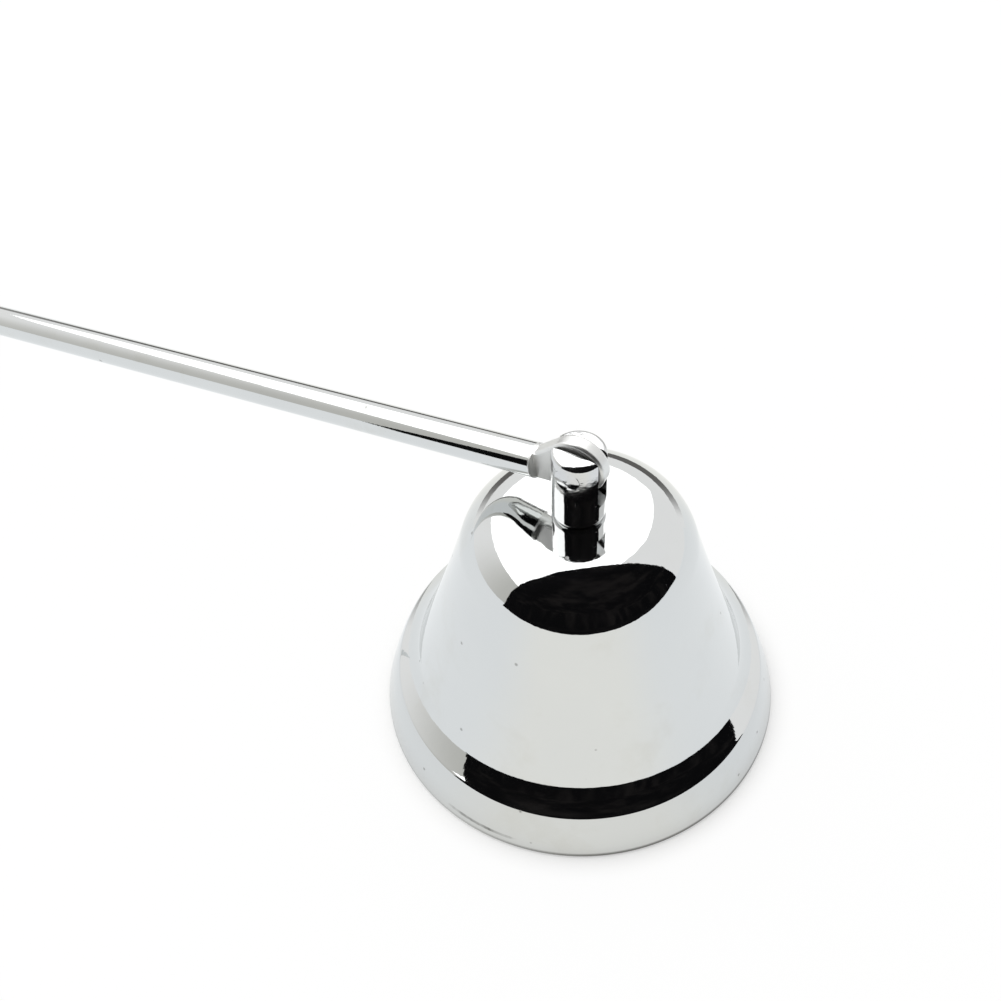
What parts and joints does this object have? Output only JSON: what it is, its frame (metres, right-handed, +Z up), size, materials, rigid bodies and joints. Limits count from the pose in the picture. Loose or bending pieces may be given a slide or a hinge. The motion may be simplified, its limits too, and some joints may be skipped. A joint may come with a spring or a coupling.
{
  "type": "candle snuffer",
  "caption": "Candle snuffer: flared chromed bell with a slotted post on its crown and a long round handle riveted in the slot, so that the bell tilts over the flame.",
  "frame": {"origin": "centre of the bell's open mouth, on the plane of its rim", "axes": "+Z up along the bell's axis from the mouth to the crown, handle towards -X, hinge axis along Y"},
  "size_m": [0.2131, 0.0398, 0.0371],
  "materials": {
    "bell_chrome": "mirror plated, with faint spinning marks",
    "post_chrome": "mirror plated",
    "handle_chrome": "mirror plated, with faint drawn lines",
    "rivet_chrome": "mirror plated, softly peened",
    "screw_steel": "bright zinc",
    "washer_steel": "bright zinc"
  },
  "bodies": {
    "bell": {"bell_cup": "bell_chrome", "pivot_post": "post_chrome", "hinge_rivet": "rivet_chrome", "retaining_screw": "screw_steel", "crown_washer": "washer_steel"},
    "handle": {"handle_rod": "handle_chrome"}
  },
  "joints": [
    {"name": "handle_hinge", "type": "hinge", "parent": "bell", "child": "handle", "pos_m": [0, 0, 0.03432], "axis": [0, 1, 0], "range_deg": [-12, 222]}
  ]
}
